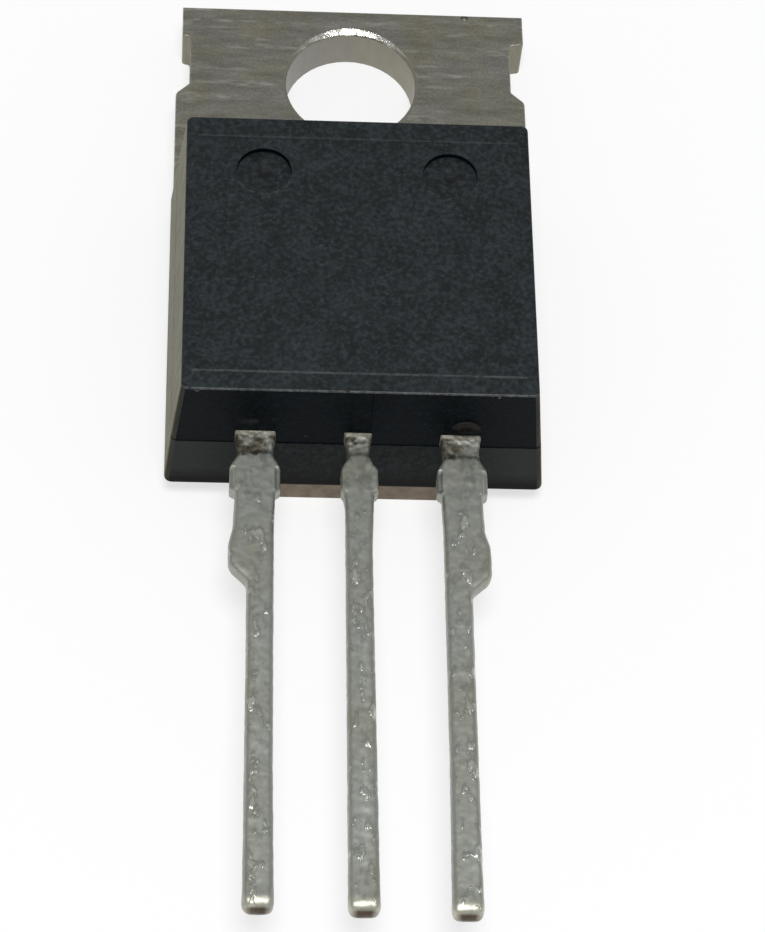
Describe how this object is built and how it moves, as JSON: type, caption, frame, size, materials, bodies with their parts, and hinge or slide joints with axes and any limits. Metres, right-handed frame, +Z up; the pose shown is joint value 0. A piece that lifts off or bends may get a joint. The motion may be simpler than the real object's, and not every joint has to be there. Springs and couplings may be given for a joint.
{
  "type": "power transistor",
  "caption": "Three-lead power transistor in a flat black plastic moulding on a plated copper header, whose tab has a screw mounting hole.",
  "frame": {"origin": "centre of the mounting hole on the flat back of the tab", "axes": "+Z up through the marked face, +Y towards the end of the tab, the leads point along -Y"},
  "size_m": [0.0102, 0.0291, 0.0043],
  "materials": {
    "plated_header": "dull nickel plating over copper, rolled, with light handling scratches",
    "tinned_lead": "hot tin dip over copper alloy, uneven satin",
    "epoxy_moulding": "matt black epoxy with fine pitting",
    "silicon": "polished silicon with a metallised top",
    "solder": "soft solder",
    "bond_wire": "drawn aluminium wire"
  },
  "bodies": {
    "root": {"collector_header": "plated_header", "base_lead": "tinned_lead", "collector_lead": "tinned_lead", "emitter_lead": "tinned_lead", "moulded_body": "epoxy_moulding", "silicon_die": "silicon", "die_solder": "solder", "base_wire": "bond_wire", "emitter_wire": "bond_wire"}
  },
  "joints": []
}
